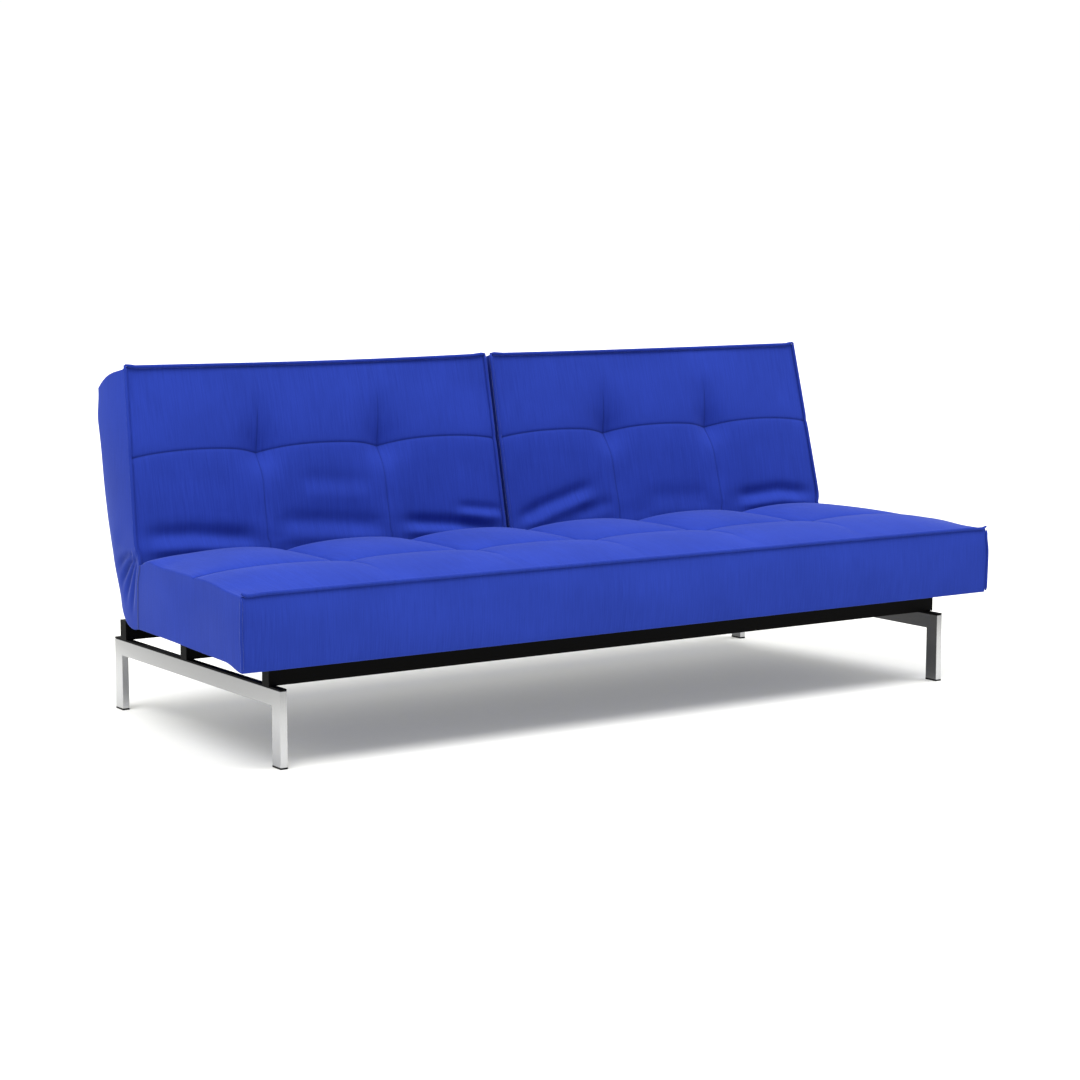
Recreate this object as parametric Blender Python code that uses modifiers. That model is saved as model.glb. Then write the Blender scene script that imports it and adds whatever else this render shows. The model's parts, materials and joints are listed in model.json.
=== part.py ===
"""Three-seat futon sofa bed: a one-piece seat mattress on three cross rails and two inverted-U leg
frames, with a backrest split into two halves that each recline flat on their own pair of fittings.

Metres, +X across the width, -Y is the front, +Z up, the floor at z = 0 and the middle of the
footprint at the origin. Left is -X. Pieces of a back half are built in the half's own space, with
+Z up the panel and -Y out of its front face, under an empty that stands on the hinge axis.
"""
import math

import bmesh
import bpy
from mathutils import Matrix

# overall
SEAT_HALF_FRONT = 1.050      # half the seat's width at its front edge
SEAT_HALF_REAR = 1.003       # and at the fold
SEAT_FRONT_Y = -0.4365
SEAT_REAR_Y = 0.1205         # clear of the back halves' lower ends as they turn
SEAT_TOP_FRONT = 0.386
SEAT_TOP_REAR = 0.394
GAP = 0.0003                 # between pieces that touch

# leg frames
LEG_OUT_X = 0.9416
LEG_T = 0.017                # across the width
LEG_D = 0.0386               # front to back
LEG_HALF = 0.4160            # half the frame's length
LEG_MID_Y = 0.0205           # the frames stand set back from the seat's front edge
LEG_TOP = 0.1687
BAR_H = 0.0365
LEG_WALL = 0.0015
GLIDE_H = 0.004
STRIP_TOP = 0.1732

# cross rails
RAIL_D = 0.030
RAIL_Z0 = 0.1735
RAIL_Z1 = 0.2205
RAIL_END = 0.9465
RAIL_WALL = 0.002
CAP_T = 0.003
RAIL_FRONT_FACES = {"front": -0.3545, "middle": 0.0405, "rear": 0.3625}

# seat deck
TUBE = 0.025
TUBE_WALL = 0.002
DECK_HALF = 0.915
DECK_Z0 = RAIL_Z1 + GAP
DECK_FRONT_Y = -0.3545
DECK_REAR_Y = 0.0405
SEAT_SLATS = (-0.72, -0.36, 0.0, 0.36, 0.72)
SLAT_W = 0.060
SLAT_T = 0.008
SEAT_BOTTOM = 0.2215

# back halves
PIVOT_Y = 0.2205
PIVOT_Z = 0.320
LEAN = math.radians(12.3)    # the front face from vertical, upright
BACK_FRONT = 0.070           # hinge axis to the front face
BACK_REAR = 0.097            # hinge axis to the rear face, and the lower end's radius
BACK_TOP = 0.503
BACK_IN = 0.004              # half the split between the halves
BACK_OUT_LOW = 1.003
BACK_OUT_TOP = 0.983
FRAME_IN = 0.0877            # the welded frame's inner and outer sides
FRAME_OUT = 0.9123
FRAME_TOP = 0.410
FRAME_Y0 = 0.068             # the frame's front and rear in the half's space
FRAME_Y1 = 0.093
BACK_SLATS = (0.36, 0.64)
PANEL_T = 0.003

# fittings
PLATE_T = 0.005
DISC_T = 0.0034
DISC_R = 0.016
BOLT_R = 0.005
BORE_R = 0.00508             # a running fit on the bolt
BOSS_R = 0.020
HEAD_R = 0.0095
HEAD_T = 0.003


def reset():
    for item in list(bpy.data.objects):
        bpy.data.objects.remove(item, do_unlink=True)


def make_material(name, colour, rough, metal=0.0):
    mat = bpy.data.materials.new(name)
    mat.use_nodes = True
    shader = next(n for n in mat.node_tree.nodes if n.type == "BSDF_PRINCIPLED")
    shader.inputs["Base Color"].default_value = (*colour, 1.0)
    shader.inputs["Roughness"].default_value = rough
    shader.inputs["Metallic"].default_value = metal
    return mat


def add(name, bm, mat, where, bevel=0.0, segments=2, weights=False, parent=None, smooth=False):
    bmesh.ops.recalc_face_normals(bm, faces=bm.faces)
    mesh = bpy.data.meshes.new(name)
    bm.to_mesh(mesh)
    bm.free()
    obj = bpy.data.objects.new(name, mesh)
    where.objects.link(obj)
    if mat:
        mesh.materials.append(mat)
    if smooth:
        mesh.shade_smooth()
    if bevel:
        mod = obj.modifiers.new("edges", "BEVEL")
        mod.width = bevel
        mod.segments = segments
        mod.limit_method = "WEIGHT" if weights else "ANGLE"
        mod.angle_limit = math.radians(30)
    if parent:
        obj.parent = parent
    return obj


def box_mesh(lo, hi):
    bm = bmesh.new()
    size = [b - a for a, b in zip(lo, hi)]
    centre = [(a + b) / 2 for a, b in zip(lo, hi)]
    bmesh.ops.create_cube(bm, size=1.0, matrix=Matrix.Translation(centre) @ Matrix.Diagonal((*size, 1)))
    return bm


def prism_mesh(outline, x0, x1, hole=None):
    """An outline in (y, z), with an optional round hole (y, z, radius), drawn out along X."""
    bm = bmesh.new()
    loops = [outline]
    if hole:
        y, z, r = hole
        loops.append([(y + r * math.cos(a * math.tau / 32), z + r * math.sin(a * math.tau / 32))
                      for a in range(32)])
    edges = []
    for loop in loops:
        ring = [bm.verts.new((x0, y, z)) for y, z in loop]
        edges += [bm.edges.new((ring[i - 1], ring[i])) for i in range(len(ring))]
    if hole:
        bmesh.ops.triangle_fill(bm, use_beauty=True, edges=edges)
    else:
        bm.faces.new(bm.verts)
    flat = list(bm.faces)
    out = bmesh.ops.extrude_face_region(bm, geom=flat, use_keep_orig=True)
    moved = [v for v in out["geom"] if isinstance(v, bmesh.types.BMVert)]
    bmesh.ops.translate(bm, verts=moved, vec=(x1 - x0, 0, 0))
    return bm


def mark(bm, wanted):
    """Gives the edges that pass the test a bevel weight."""
    layer = bm.edges.layers.float.new("bevel_weight_edge")
    for edge in bm.edges:
        if wanted(edge):
            edge[layer] = 1.0


def tube_mesh(axis, lo, hi, wall):
    """A square tube with open ends along axis 0, 1 or 2; its outer long edges are marked."""
    across = [a for a in range(3) if a != axis]
    bm = bmesh.new()
    rings = []
    for end in (lo[axis], hi[axis]):
        for inset in (0.0, wall):
            a0, a1 = lo[across[0]] + inset, hi[across[0]] - inset
            b0, b1 = lo[across[1]] + inset, hi[across[1]] - inset
            ring = []
            for a, b in ((a0, b0), (a1, b0), (a1, b1), (a0, b1)):
                place = [0.0, 0.0, 0.0]
                place[axis], place[across[0]], place[across[1]] = end, a, b
                ring.append(bm.verts.new(place))
            rings.append(ring)
    outer0, inner0, outer1, inner1 = rings
    for i in range(4):
        j = (i + 1) % 4
        bm.faces.new((outer0[i], outer0[j], outer1[j], outer1[i]))
        bm.faces.new((inner0[i], inner1[i], inner1[j], inner0[j]))
        bm.faces.new((outer0[i], inner0[i], inner0[j], outer0[j]))
        bm.faces.new((outer1[i], outer1[j], inner1[j], inner1[i]))
    outer = set(outer0 + outer1)
    mark(bm, lambda e: all(v in outer for v in e.verts)
         and abs(e.verts[0].co[axis] - e.verts[1].co[axis]) > 0.01)
    return bm


def plug_mesh(axis, sign, at, flange, depth, lo, hi, inset):
    """A flange from at to at + sign * flange, with a smaller plug running on by depth behind it."""
    across = [a for a in range(3) if a != axis]
    bm = bmesh.new()
    rings = []
    for along, grow in ((0.0, 0.0), (flange, 0.0), (flange, inset), (flange + depth, inset)):
        ring = []
        a0, a1 = lo[0] + grow, hi[0] - grow
        b0, b1 = lo[1] + grow, hi[1] - grow
        for a, b in ((a0, b0), (a1, b0), (a1, b1), (a0, b1)):
            place = [0.0, 0.0, 0.0]
            place[axis], place[across[0]], place[across[1]] = at + sign * along, a, b
            ring.append(bm.verts.new(place))
        rings.append(ring)
    for one, two in zip(rings, rings[1:]):
        for i in range(4):
            j = (i + 1) % 4
            bm.faces.new((one[i], one[j], two[j], two[i]))
    bm.faces.new(rings[0])
    bm.faces.new(rings[-1])
    return bm


def lathe_mesh(profile, y=0.0, z=0.0, solid=False, segments=32):
    """An (x, radius) profile turned about an axis along X through (y, z): a closed ring's section, or
    the outer side of a solid, whose two ends are then closed with flat discs."""
    bm = bmesh.new()
    rings = []
    for k in range(segments):
        a = k * math.tau / segments
        rings.append([bm.verts.new((x, y + r * math.cos(a), z + r * math.sin(a))) for x, r in profile])
    for k in range(segments):
        one, two = rings[k], rings[(k + 1) % segments]
        for i in range(len(profile) - solid):
            j = (i + 1) % len(profile)
            bm.faces.new((one[i], one[j], two[j], two[i]))
    if solid:
        bm.faces.new([ring[0] for ring in rings])
        bm.faces.new([ring[-1] for ring in rings])
    return bm


def cutter(name, bm, parent=None):
    obj = add(name, bm, None, CUTTERS, parent=parent)
    obj.hide_render = True
    obj.display_type = "WIRE"
    return obj


def boolean(obj, other, operation):
    mod = obj.modifiers.new(other.name, "BOOLEAN")
    mod.operation = operation
    mod.solver = "EXACT"
    mod.object = other


def leg_frame(side, name):
    """One square tube bent into an inverted U, open at both feet where the glides plug in."""
    x0, x1 = sorted((side * LEG_OUT_X, side * (LEG_OUT_X - LEG_T)))
    foot = GLIDE_H + GAP

    def outline(t):
        e, w = LEG_HALF - t, LEG_HALF - LEG_D + t
        under, over = LEG_TOP - BAR_H + t, LEG_TOP - t
        path = [(-e, foot), (-e, over), (e, over), (e, foot), (w, foot), (w, under),
                (-w, under), (-w, foot)]
        return [(LEG_MID_Y + y, z) for y, z in path]

    bm = bmesh.new()
    shells = []
    for t in (0.0, LEG_WALL):
        shells.append([[bm.verts.new((x, y, z)) for y, z in outline(t)] for x in (x0 + t, x1 - t)])
    for sides in shells:
        bm.faces.new(sides[0])
        bm.faces.new(sides[1])
        for i in (0, 1, 2, 4, 5, 6):
            bm.faces.new((sides[0][i], sides[0][i + 1], sides[1][i + 1], sides[1][i]))
    (a0, a1), (b0, b1) = shells
    for i, j in ((3, 4), (7, 0)):
        bm.faces.new((a0[i], a0[j], b0[j], b0[i]))
        bm.faces.new((a1[j], a1[i], b1[i], b1[j]))
        bm.faces.new((a0[j], a1[j], b1[j], b0[j]))
        bm.faces.new((a1[i], a0[i], b0[i], b1[i]))
    outer = {v for ring in shells[0] for v in ring}
    mark(bm, lambda e: all(v in outer for v in e.verts)
         and max(v.co.z for v in e.verts) > foot + 0.001)
    add(name, bm, M["chrome"], PARTS, 0.001, 2, weights=True)


def base():
    for side, word in ((-1, "left"), (1, "right")):
        leg_frame(side, "leg_frame_" + word)
        x0, x1 = sorted((side * LEG_OUT_X, side * (LEG_OUT_X - LEG_T)))
        for end, where in ((-1, "front"), (1, "rear")):
            y0, y1 = sorted((LEG_MID_Y + end * LEG_HALF, LEG_MID_Y + end * (LEG_HALF - LEG_D)))
            bm = plug_mesh(2, 1, 0.0, GLIDE_H, 0.012, (x0, y0), (x1, y1), LEG_WALL + GAP)
            add(f"foot_glide_{where}_{word}", bm, M["glide"], PARTS)
        bm = box_mesh((x0, LEG_MID_Y - LEG_HALF, LEG_TOP + GAP),
                      (x1, LEG_MID_Y + LEG_HALF, STRIP_TOP))
        add("bar_strip_" + word, bm, M["strip"], PARTS, 0.0012, 2)
    for where, face in RAIL_FRONT_FACES.items():
        inner = RAIL_END - CAP_T - GAP
        lo, hi = (-inner, face, RAIL_Z0), (inner, face + RAIL_D, RAIL_Z1)
        add(where + "_rail", tube_mesh(0, lo, hi, RAIL_WALL), M["rail"], PARTS, 0.002, 2, weights=True)
        for side, word in ((-1, "left"), (1, "right")):
            bm = plug_mesh(0, -side, side * RAIL_END, CAP_T, 0.015, (face, RAIL_Z0),
                           (face + RAIL_D, RAIL_Z1), RAIL_WALL + GAP)
            add(f"{where}_rail_cap_{word}", bm, M["cap"], PARTS)


def seat_deck():
    z0, z1 = DECK_Z0, DECK_Z0 + TUBE
    for name, y in (("seat_front_tube", DECK_FRONT_Y), ("seat_rear_tube", DECK_REAR_Y)):
        bm = tube_mesh(0, (-DECK_HALF, y, z0), (DECK_HALF, y + TUBE, z1), TUBE_WALL)
        add(name, bm, M["frame"], PARTS, 0.002, 2, weights=True)
    for side, word in ((-1, "left"), (1, "right")):
        x0, x1 = sorted((side * DECK_HALF, side * (DECK_HALF - TUBE)))
        bm = tube_mesh(1, (x0, DECK_FRONT_Y + TUBE + GAP, z0), (x1, DECK_REAR_Y - GAP, z1), TUBE_WALL)
        add("seat_side_tube_" + word, bm, M["frame"], PARTS, 0.002, 2, weights=True)
    for i, x in enumerate(SEAT_SLATS):
        bm = box_mesh((x - SLAT_W / 2, DECK_FRONT_Y + 0.002, z1 + GAP),
                      (x + SLAT_W / 2, DECK_REAR_Y + TUBE - 0.002, z1 + GAP + SLAT_T))
        add(f"seat_slat_{i + 1}", bm, M["slat"], PARTS, 0.002, 2)


def seat_mattress():
    profile = [(SEAT_FRONT_Y, SEAT_BOTTOM), (SEAT_FRONT_Y, SEAT_TOP_FRONT),
               (SEAT_REAR_Y, SEAT_TOP_REAR), (SEAT_REAR_Y, SEAT_BOTTOM)]
    bm = prism_mesh(profile, -1.0, 1.0)
    for v in bm.verts:
        t = (v.co.y - SEAT_FRONT_Y) / (SEAT_REAR_Y - SEAT_FRONT_Y)
        v.co.x *= SEAT_HALF_FRONT + (SEAT_HALF_REAR - SEAT_HALF_FRONT) * t
    mark(bm, lambda e: min(v.co.y for v in e.verts) < SEAT_FRONT_Y + 0.001)
    seat = add("seat_mattress", bm, M["cloth"], PARTS, 0.012, 3, weights=True)
    pocket = box_mesh((-0.930, DECK_FRONT_Y - 0.007, 0.190), (0.930, DECK_REAR_Y + TUBE + 0.007, 0.2600))
    boolean(seat, cutter("cut_seat_pocket", pocket), "DIFFERENCE")
    for side, word in ((-1, "left"), (1, "right")):
        for place, at in (("inner", 0.0759), ("outer", 0.9241)):
            x = side * at
            slot = box_mesh((x - 0.0102, 0.0307, 0.180), (x + 0.0102, 0.180, 0.330))
            boolean(seat, cutter(f"cut_seat_slot_{place}_{word}", slot), "DIFFERENCE")


def bracket_outline():
    """The seat plate in world (y, z): a foot on the rear tube and an eye round the hinge axis."""
    y0, z0 = DECK_REAR_Y, DECK_Z0 + TUBE + GAP
    points = [(y0 - 0.002, z0), (y0 + TUBE + 0.010, z0)]
    start = math.atan2(z0 - PIVOT_Z, y0 + TUBE + 0.010 - PIVOT_Y) + math.radians(75)
    sweep = math.radians(205)
    for i in range(17):
        a = start + sweep * i / 16
        points.append((PIVOT_Y + BOSS_R * math.cos(a), PIVOT_Z + BOSS_R * math.sin(a)))
    points.append((y0 - 0.002, z0 + 0.030))
    return points


def arm_outline():
    """The back arm in the half's own (y, z): an eye round the hinge axis and a leg up the frame."""
    points = []
    for i in range(17):
        a = math.radians(205) + math.radians(200) * i / 16
        points.append((BOSS_R * math.cos(a), BOSS_R * math.sin(a)))
    points = points[:-1]
    points += [(0.060, 0.028), (FRAME_Y1, 0.028), (FRAME_Y1, 0.125), (FRAME_Y0, 0.125),
               (FRAME_Y0 - 0.006, 0.070), (-0.006, 0.024)]
    return points


def fitting(side, place, word, pivot):
    """One reclining fitting: a plate on the seat deck, a friction disc, an arm on the back frame and
    the shoulder bolt through them. Its pieces stack outwards from the back frame's side."""
    if place == "outer":
        face, step = FRAME_OUT, 1
    else:
        face, step = FRAME_IN, -1

    def span(start, thick):
        return sorted((side * (face + step * start), side * (face + step * (start + thick))))

    arm = span(GAP, PLATE_T)
    disc = span(2 * GAP + PLATE_T, DISC_T)
    plate = span(3 * GAP + PLATE_T + DISC_T, PLATE_T)
    tag = f"{place}_{word}"

    bm = prism_mesh(arm_outline(), *arm, hole=(0.0, 0.0, BORE_R))
    add("back_arm_" + tag, bm, M["zinc"], PARTS, parent=pivot)

    ring = [(disc[0], BORE_R), (disc[1], BORE_R), (disc[1], DISC_R), (disc[0], DISC_R)]
    add("friction_disc_" + tag, lathe_mesh(ring), M["disc"], PARTS, parent=pivot)

    bm = prism_mesh(bracket_outline(), *plate, hole=(PIVOT_Y, PIVOT_Z, BORE_R))
    bracket = add("seat_bracket_" + tag, bm, M["zinc"], PARTS)
    inward = -side * step
    face = plate[0] if inward < 0 else plate[1]
    x0, x1 = sorted((face - inward * 0.001, face + inward * 0.030))
    z0 = DECK_Z0 + TUBE + GAP
    foot = box_mesh((x0, DECK_REAR_Y + 0.001, z0), (x1, DECK_REAR_Y + TUBE - 0.001, z0 + PLATE_T))
    boolean(bracket, cutter("foot_" + tag, foot), "UNION")

    a, b = min(arm[0], plate[0]) - GAP, max(arm[1], plate[1]) + GAP
    bolt = [(a - HEAD_T, HEAD_R), (a, HEAD_R), (a, BOLT_R), (b, BOLT_R), (b, HEAD_R),
            (b + HEAD_T, HEAD_R)]
    bm = lathe_mesh(bolt, PIVOT_Y, PIVOT_Z, solid=True)
    add("pivot_bolt_" + tag, bm, M["zinc"], PARTS)


def back_mattress(side, word, pivot):
    outline = [(-BACK_FRONT, BACK_TOP), (0.080, 0.488), (BACK_REAR, 0.470), (BACK_REAR, 0.0)]
    low = math.acos(BACK_FRONT / BACK_REAR)
    steps = 9
    for i in range(1, steps + 1):
        a = -(math.pi - low) * i / steps
        outline.append((BACK_REAR * math.cos(a), BACK_REAR * math.sin(a)))
    bm = prism_mesh(outline, 0.0, 1.0)
    for v in bm.verts:
        t = max(0.0, v.co.z) / BACK_TOP
        out = BACK_OUT_LOW + (BACK_OUT_TOP - BACK_OUT_LOW) * t
        v.co.x = side * (BACK_IN if v.co.x < 0.5 else out)
    back = add("back_mattress_" + word, bm, M["cloth"], PARTS, 0.010, 3, parent=pivot)
    x0, x1 = sorted((side * 0.064, side * 0.936))
    pocket = box_mesh((x0, 0.0590, -0.012), (x1, 0.130, 0.421))
    boolean(back, cutter("cut_back_pocket_" + word, pocket, pivot), "DIFFERENCE")
    for place, at in (("inner", 0.080), ("outer", 0.920)):
        x0, x1 = sorted((side * (at - 0.0162), side * (at + 0.0162)))
        low = box_mesh((x0, -0.100, -0.130), (x1, 0.130, 0.035))
        boolean(back, cutter(f"cut_back_low_{place}_{word}", low, pivot), "DIFFERENCE")
        high = box_mesh((x0, -0.030, -0.010), (x1, 0.130, 0.135))
        boolean(back, cutter(f"cut_back_high_{place}_{word}", high, pivot), "DIFFERENCE")


def back_frame(side, word, pivot):
    for place, a, b in (("inner", FRAME_IN, FRAME_IN + TUBE), ("outer", FRAME_OUT - TUBE, FRAME_OUT)):
        x0, x1 = sorted((side * a, side * b))
        bm = tube_mesh(2, (x0, FRAME_Y0, 0.0), (x1, FRAME_Y1, FRAME_TOP), TUBE_WALL)
        add(f"back_upright_{place}_{word}", bm, M["frame"], PARTS, 0.002, 2, weights=True, parent=pivot)
    x0, x1 = sorted((side * (FRAME_IN + TUBE + GAP), side * (FRAME_OUT - TUBE - GAP)))
    for place, z in (("top", FRAME_TOP - TUBE), ("bottom", 0.0)):
        bm = tube_mesh(0, (x0, FRAME_Y0, z), (x1, FRAME_Y1, z + TUBE), TUBE_WALL)
        add(f"back_{place}_tube_{word}", bm, M["frame"], PARTS, 0.002, 2, weights=True, parent=pivot)
    for i, at in enumerate(BACK_SLATS):
        x = side * at
        bm = box_mesh((x - SLAT_W / 2, FRAME_Y0 - GAP - SLAT_T, 0.003),
                      (x + SLAT_W / 2, FRAME_Y0 - GAP, FRAME_TOP - 0.003))
        add(f"back_slat_{word}_{i + 1}", bm, M["slat"], PARTS, 0.002, 2, parent=pivot)
    x0, x1 = sorted((side * 0.072, side * 0.928))
    bm = box_mesh((x0, FRAME_Y1 + GAP, -0.006), (x1, FRAME_Y1 + GAP + PANEL_T, 0.416))
    add("back_panel_" + word, bm, M["panel"], PARTS, parent=pivot)


def back_half(side, word):
    pivot = bpy.data.objects.new("back_axis_" + word, None)
    PARTS.objects.link(pivot)
    pivot.location = (side * 0.5, PIVOT_Y, PIVOT_Z)
    pivot.rotation_euler = (-LEAN, 0.0, 0.0)
    hold = bpy.data.objects.new("back_space_" + word, None)
    PARTS.objects.link(hold)
    hold.parent = pivot
    hold.location = (-side * 0.5, 0.0, 0.0)
    back_mattress(side, word, hold)
    back_frame(side, word, hold)
    for place in ("inner", "outer"):
        fitting(side, place, word, hold)


reset()
PARTS = bpy.data.collections.new("futon_sofa_bed")
CUTTERS = bpy.data.collections.new("cutters")
bpy.context.scene.collection.children.link(PARTS)
bpy.context.scene.collection.children.link(CUTTERS)
M = {
    "cloth": make_material("blue_cloth", (0.022, 0.05, 0.52), 0.85),
    "chrome": make_material("leg_steel", (0.62, 0.62, 0.62), 0.25, 1.0),
    "rail": make_material("black_rail", (0.012, 0.012, 0.012), 0.45, 0.0),
    "cap": make_material("black_cap", (0.015, 0.015, 0.015), 0.55, 0.0),
    "strip": make_material("black_strip", (0.02, 0.02, 0.02), 0.7, 0.0),
    "glide": make_material("black_glide", (0.02, 0.02, 0.02), 0.6, 0.0),
    "frame": make_material("frame_steel", (0.03, 0.03, 0.03), 0.5, 0.0),
    "slat": make_material("slat_wood", (0.55, 0.38, 0.2), 0.6, 0.0),
    "panel": make_material("panel_cloth", (0.02, 0.045, 0.48), 0.85),
    "zinc": make_material("fitting_steel", (0.55, 0.55, 0.53), 0.35, 1.0),
    "disc": make_material("friction_disc", (0.06, 0.055, 0.05), 0.8, 0.0),
}
base()
seat_deck()
seat_mattress()
back_half(-1, "left")
back_half(1, "right")
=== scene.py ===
"""Looks for the futon sofa bed: quilted blue cushions, brushed legs, rails, studio and camera.

Metres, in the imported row's frame: +X across the width, -Y the front, +Z up, floor at z = 0.
"""
import json
import math

import bpy
import numpy as np
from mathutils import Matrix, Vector

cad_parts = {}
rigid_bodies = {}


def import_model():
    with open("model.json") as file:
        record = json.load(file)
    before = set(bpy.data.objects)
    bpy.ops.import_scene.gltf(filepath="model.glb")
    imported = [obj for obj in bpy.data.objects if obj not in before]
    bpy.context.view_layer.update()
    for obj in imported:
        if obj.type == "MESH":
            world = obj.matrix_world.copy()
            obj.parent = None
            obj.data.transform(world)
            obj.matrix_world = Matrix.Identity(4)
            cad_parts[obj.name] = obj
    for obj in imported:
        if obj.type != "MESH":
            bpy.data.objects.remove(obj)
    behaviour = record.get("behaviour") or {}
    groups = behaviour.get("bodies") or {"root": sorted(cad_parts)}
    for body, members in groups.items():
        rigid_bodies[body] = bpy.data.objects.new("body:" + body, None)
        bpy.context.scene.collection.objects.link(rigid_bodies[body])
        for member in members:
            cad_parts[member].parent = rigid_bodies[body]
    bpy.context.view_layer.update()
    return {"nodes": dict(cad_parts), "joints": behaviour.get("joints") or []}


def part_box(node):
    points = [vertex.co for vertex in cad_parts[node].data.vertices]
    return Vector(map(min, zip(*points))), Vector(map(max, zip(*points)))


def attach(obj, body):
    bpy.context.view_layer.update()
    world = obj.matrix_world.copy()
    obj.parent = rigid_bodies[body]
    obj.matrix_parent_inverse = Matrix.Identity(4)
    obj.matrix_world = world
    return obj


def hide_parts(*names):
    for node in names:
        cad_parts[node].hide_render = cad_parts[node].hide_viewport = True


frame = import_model()
NODES = frame["nodes"]
HINGE = next(j for j in frame["joints"] if j["name"] == "back_left_recline")["pos_m"]
PY, PZ = HINGE[1], HINGE[2]

# seat cushion
FRONT_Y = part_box("seat_mattress")[0][1]
SEAM_Y = -0.1745             # the seam across the seat
SEAM_B = 0.45                # its place on the cushion's grid, 0 at the front and 1 at the rear
CREASE_Y = 0.1470            # the seat's rear top edge
HALF_FRONT = 1.050           # half width at the front
HALF_REAR = 1.006
COLUMN = 1 / 3               # between lengthwise seams
HOLLOW_R = 0.0988            # radius of the hollow rear face about the hinge
HOLLOW_END = 0.046           # the hollow stops this far in front of the hinge
FLAP = 0.0075                # side panel's thickness where it laps the back's lower end
FLAP_Y = 0.1690              # the flap's rear edge
SLACK = 0.0012               # between the flap and the rear face's end

# back cushions
LEAN = math.radians(12.3)
BACK_TOP = 0.4975            # along the panel from the hinge
REAR_TOP = 0.478             # the same at the rear top edge
SEAM_C = 0.62                # the cross seam's place on the grid, 0 at the bottom and 1 at the top
BACK_FRONT = 0.070           # hinge to the front face
BACK_REAR = 0.097
LOW_R = 0.0965               # radius of the rounded lower end
LOW_S = -math.sqrt(LOW_R ** 2 - BACK_FRONT ** 2)
BACK_IN = 0.0075             # x of the side next to the other half
BACK_OUT_LOW = 0.9975        # x of the outer side, beside the seat's flaps
BACK_OUT_WIDE = 1.0045       # just above the seat
BACK_OUT_TOP = 0.981
BACK_WIDE = 0.99             # a half's width, to turn shares of it into metres
SHEER = (0.172, 0.405)       # y and z of the corner that the side folds fan out from

# swelling by Cloth: pressure, the most that a point moves, and how much of it each cushion takes
PRESSURE, MOST = 1.6, 0.009
SEAT_TAKES, BACK_TAKES = 0.6, 0.5

# radii of the cloth cords
WELT_R = 0.0044
FRONT_WELT_R = 0.0042
CORNER_SEAM_R = 0.0032

# studio and camera
FLOOR_HALF = 190.0
FLOOR_GLOW = 0.185           # lifts the floor to white around the object's shadow
WORLD_STRENGTH = 1.02
SUN_ANGLE = math.radians(34)
SUNS = (("key_left", (-0.40, -0.28, 1.0), 2.18), ("key_right", (0.40, -0.28, 1.0), 1.90))
LENS, SENSOR = 83.87, 36     # mm
CAMERA_AT = (-3.3999, -5.0385, 1.1507)
CAMERA_LOOK = (0.5533, 0.8236, -0.1252)
VIEW_END = 400               # past the floor's far corner


def smooth(t):
    t = np.clip(t, 0.0, 1.0)
    return t * t * (3 - 2 * t)


def lerp(a, b, t):
    return a + (b - a) * t


# --- materials ----------------------------------------------------------------------------------

def shader_nodes(name, colour, rough, metal=0.0):
    mat = bpy.data.materials.new(name)
    mat.use_nodes = True
    tree = mat.node_tree
    bsdf = next(n for n in tree.nodes if n.type == "BSDF_PRINCIPLED")
    bsdf.inputs["Base Color"].default_value = (*colour, 1)
    bsdf.inputs["Roughness"].default_value = rough
    bsdf.inputs["Metallic"].default_value = metal
    bsdf.inputs["Specular IOR Level"].default_value = 0.5 if metal else 0.035
    return mat, tree, bsdf


def noise_on(tree, scale, squeeze, detail=2.0, rough=0.5):
    """Noise in object space, stretched by the three factors in squeeze."""
    coord = tree.nodes.new("ShaderNodeTexCoord")
    mapping = tree.nodes.new("ShaderNodeMapping")
    mapping.inputs["Scale"].default_value = squeeze
    tex = tree.nodes.new("ShaderNodeTexNoise")
    tex.inputs["Scale"].default_value = scale
    tex.inputs["Detail"].default_value = detail
    tex.inputs["Roughness"].default_value = rough
    tree.links.new(coord.outputs["Object"], mapping.inputs["Vector"])
    tree.links.new(mapping.outputs["Vector"], tex.inputs["Vector"])
    return tex.outputs["Fac"]


def ramp(tree, fac, stops):
    node = tree.nodes.new("ShaderNodeValToRGB")
    first, last = node.color_ramp.elements
    first.position, first.color = stops[0][0], (*stops[0][1], 1)
    last.position, last.color = stops[-1][0], (*stops[-1][1], 1)
    for place, colour in stops[1:-1]:
        node.color_ramp.elements.new(place).color = (*colour, 1)
    tree.links.new(fac, node.inputs["Fac"])
    return node.outputs["Color"]


def maths(tree, kind, a, b):
    node = tree.nodes.new("ShaderNodeMath")
    node.operation = kind
    for socket, value in zip(node.inputs, (a, b)):
        if isinstance(value, (int, float)):
            socket.default_value = value
        else:
            tree.links.new(value, socket)
    return node.outputs["Value"]


def bump(tree, bsdf, height, strength, distance):
    node = tree.nodes.new("ShaderNodeBump")
    node.inputs["Strength"].default_value = strength
    node.inputs["Distance"].default_value = distance
    tree.links.new(height, node.inputs["Height"])
    tree.links.new(node.outputs["Normal"], bsdf.inputs["Normal"])


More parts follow.
